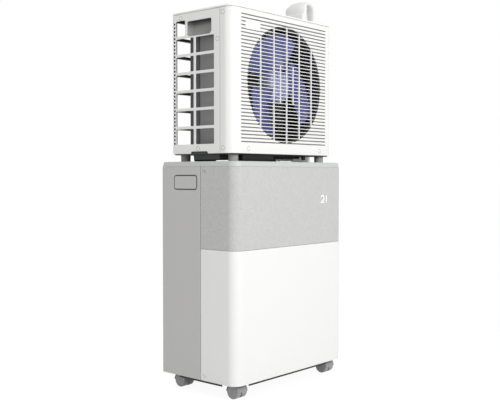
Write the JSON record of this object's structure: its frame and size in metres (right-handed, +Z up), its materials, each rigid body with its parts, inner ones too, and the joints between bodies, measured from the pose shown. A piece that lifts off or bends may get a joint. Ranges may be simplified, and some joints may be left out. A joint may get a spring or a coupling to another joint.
{
  "type": "portable split air conditioner",
  "caption": "Tall indoor unit on castors with its outdoor fan unit parked on the lid, joined by a flat hose that arches up at the right.",
  "frame": {"origin": "on the floor, below the middle of the indoor unit's plan", "axes": "+X to the right seen from the front, -Y out of the front, +Z up"},
  "size_m": [0.565, 0.2955, 1.187],
  "materials": {
    "shell_grey": "fine-textured moulded plastic",
    "panel_white": "satin white moulded plastic",
    "woven_grey": "speckled woven cloth over a moulded cover",
    "lid_grey": "satin moulded plastic",
    "dark_plastic": "matt black moulded plastic",
    "castor_grey": "satin grey nylon",
    "outdoor_white": "satin white moulded plastic",
    "grey_rubber": "matt rubber",
    "fan_blue": "satin blue-violet moulded plastic",
    "coil_fins": "thin pressed fins",
    "steel": "plated sheet steel",
    "black_paint": "semi-gloss black paint",
    "filter_mesh": "fine nylon mesh in a frame",
    "hose_grey": "satin flexible plastic"
  },
  "bodies": {
    "indoor_unit": {"base_tray": "dark_plastic", "rear_shell": "shell_grey", "front_lower_cover": "panel_white", "front_upper_cover": "woven_grey", "top_lid": "lid_grey", "handle_cup_left": "dark_plastic", "handle_cup_right": "dark_plastic", "display_module": "dark_plastic", "power_inlet": "dark_plastic", "evaporator": "coil_fins", "drain_pan": "dark_plastic", "blower_scroll": "dark_plastic", "blower_motor": "steel", "compressor": "black_paint", "accumulator": "black_paint", "electronics_box": "steel", "hose_cuff_lower": "shell_grey", "hose_leg": "hose_grey"},
    "outdoor_unit": {"outdoor_front_panel": "outdoor_white", "outdoor_left_panel": "outdoor_white", "outdoor_right_panel": "outdoor_white", "outdoor_rear_grille": "outdoor_white", "outdoor_top_cover": "outdoor_white", "outdoor_base_pan": "dark_plastic", "terminal_box": "dark_plastic", "handle_scoop": "outdoor_white", "badge_plate": "panel_white", "outdoor_foot_front_left": "grey_rubber", "outdoor_foot_front_right": "grey_rubber", "outdoor_foot_rear_left": "grey_rubber", "outdoor_foot_rear_right": "grey_rubber", "condenser_coil": "coil_fins", "fan_shroud": "outdoor_white", "fan_motor": "steel", "motor_bracket": "steel", "connection_cover": "outdoor_white", "hose_cuff_upper": "hose_grey", "hose_bend": "hose_grey"},
    "fan_rotor": {"axial_fan": "fan_blue"},
    "blower_rotor": {"blower_wheel": "dark_plastic"},
    "front_vane": {"outlet_vane_1": "lid_grey"},
    "rear_vane": {"outlet_vane_2": "lid_grey"},
    "intake_panel": {"intake_grille": "shell_grey", "air_filter": "filter_mesh"},
    "drain_stopper": {"drain_plug": "grey_rubber"},
    "flap_left": {"handle_flap_left": "shell_grey"},
    "flap_right": {"handle_flap_right": "shell_grey"},
    "button_1": {"push_button_1": "dark_plastic"},
    "button_2": {"push_button_2": "dark_plastic"},
    "button_3": {"push_button_3": "dark_plastic"},
    "button_4": {"push_button_4": "dark_plastic"},
    "swivel_front_left": {"castor_fork_front_left": "castor_grey"},
    "rollers_front_left": {"castor_wheels_front_left": "castor_grey"},
    "swivel_front_right": {"castor_fork_front_right": "castor_grey"},
    "rollers_front_right": {"castor_wheels_front_right": "castor_grey"},
    "swivel_rear_left": {"castor_fork_rear_left": "castor_grey"},
    "rollers_rear_left": {"castor_wheels_rear_left": "castor_grey"},
    "swivel_rear_right": {"castor_fork_rear_right": "castor_grey"},
    "rollers_rear_right": {"castor_wheels_rear_right": "castor_grey"}
  },
  "joints": [
    {"name": "outdoor_unit_lift", "type": "slide", "parent": "indoor_unit", "child": "outdoor_unit", "axis": [0, 0, 1], "range_m": [0, 0.12], "deforming": ["hose_leg"]},
    {"name": "fan_spin", "type": "hinge", "parent": "outdoor_unit", "child": "fan_rotor", "pos_m": [0, -0.08, 0.881], "axis": [0, 1, 0], "continuous": true},
    {"name": "blower_spin", "type": "hinge", "parent": "indoor_unit", "child": "blower_rotor", "pos_m": [0, -0.062, 0.52], "axis": [1, 0, 0], "continuous": true},
    {"name": "front_vane_tilt", "type": "hinge", "parent": "indoor_unit", "child": "front_vane", "pos_m": [0, -0.1035, 0.641], "axis": [1, 0, 0], "range_deg": [0, 80]},
    {"name": "rear_vane_tilt", "type": "hinge", "parent": "indoor_unit", "child": "rear_vane", "pos_m": [0, -0.0745, 0.641], "axis": [1, 0, 0], "range_deg": [0, 80]},
    {"name": "intake_panel_pull", "type": "slide", "parent": "indoor_unit", "child": "intake_panel", "axis": [0, 1, 0], "range_m": [0, 0.06]},
    {"name": "drain_stopper_pull", "type": "slide", "parent": "indoor_unit", "child": "drain_stopper", "axis": [0, 1, 0], "range_m": [0, 0.03]},
    {"name": "flap_left_swing", "type": "hinge", "parent": "indoor_unit", "child": "flap_left", "pos_m": [-0.2452, 0.04725, 0.6155], "axis": [0, -1, 0], "range_deg": [0, 60], "stiffness_Nm_per_rad": 0.02, "springref_deg": -20.05},
    {"name": "flap_right_swing", "type": "hinge", "parent": "indoor_unit", "child": "flap_right", "pos_m": [0.2452, 0.04725, 0.6155], "axis": [0, 1, 0], "range_deg": [0, 60], "stiffness_Nm_per_rad": 0.02, "springref_deg": -20.05},
    {"name": "button_1_press", "type": "slide", "parent": "indoor_unit", "child": "button_1", "axis": [0, 0, -1], "range_m": [0, 0.0015], "stiffness_N_per_m": 300, "springref_m": -0.0003},
    {"name": "button_2_press", "type": "slide", "parent": "indoor_unit", "child": "button_2", "axis": [0, 0, -1], "range_m": [0, 0.0015], "stiffness_N_per_m": 300, "springref_m": -0.0003},
    {"name": "button_3_press", "type": "slide", "parent": "indoor_unit", "child": "button_3", "axis": [0, 0, -1], "range_m": [0, 0.0015], "stiffness_N_per_m": 300, "springref_m": -0.0003},
    {"name": "button_4_press", "type": "slide", "parent": "indoor_unit", "child": "button_4", "axis": [0, 0, -1], "range_m": [0, 0.0015], "stiffness_N_per_m": 300, "springref_m": -0.0003},
    {"name": "swivel_front_left_turn", "type": "hinge", "parent": "indoor_unit", "child": "swivel_front_left", "pos_m": [-0.205, -0.1035, 0.042], "axis": [0, 0, 1], "continuous": true},
    {"name": "rollers_front_left_roll", "type": "hinge", "parent": "swivel_front_left", "child": "rollers_front_left", "pos_m": [-0.205, -0.1095, 0.02], "axis": [1, 0, 0], "continuous": true},
    {"name": "swivel_front_right_turn", "type": "hinge", "parent": "indoor_unit", "child": "swivel_front_right", "pos_m": [0.205, -0.1035, 0.042], "axis": [0, 0, 1], "continuous": true},
    {"name": "rollers_front_right_roll", "type": "hinge", "parent": "swivel_front_right", "child": "rollers_front_right", "pos_m": [0.205, -0.1095, 0.02], "axis": [1, 0, 0], "continuous": true},
    {"name": "swivel_rear_left_turn", "type": "hinge", "parent": "indoor_unit", "child": "swivel_rear_left", "pos_m": [-0.205, 0.1035, 0.042], "axis": [0, 0, 1], "continuous": true},
    {"name": "rollers_rear_left_roll", "type": "hinge", "parent": "swivel_rear_left", "child": "rollers_rear_left", "pos_m": [-0.205, 0.0975, 0.02], "axis": [1, 0, 0], "continuous": true},
    {"name": "swivel_rear_right_turn", "type": "hinge", "parent": "indoor_unit", "child": "swivel_rear_right", "pos_m": [0.205, 0.1035, 0.042], "axis": [0, 0, 1], "continuous": true},
    {"name": "rollers_rear_right_roll", "type": "hinge", "parent": "swivel_rear_right", "child": "rollers_rear_right", "pos_m": [0.205, 0.0975, 0.02], "axis": [1, 0, 0], "continuous": true}
  ],
  "couplings": [
    {"joint": "rear_vane_tilt", "follows": "front_vane_tilt", "ratio": 1}
  ]
}
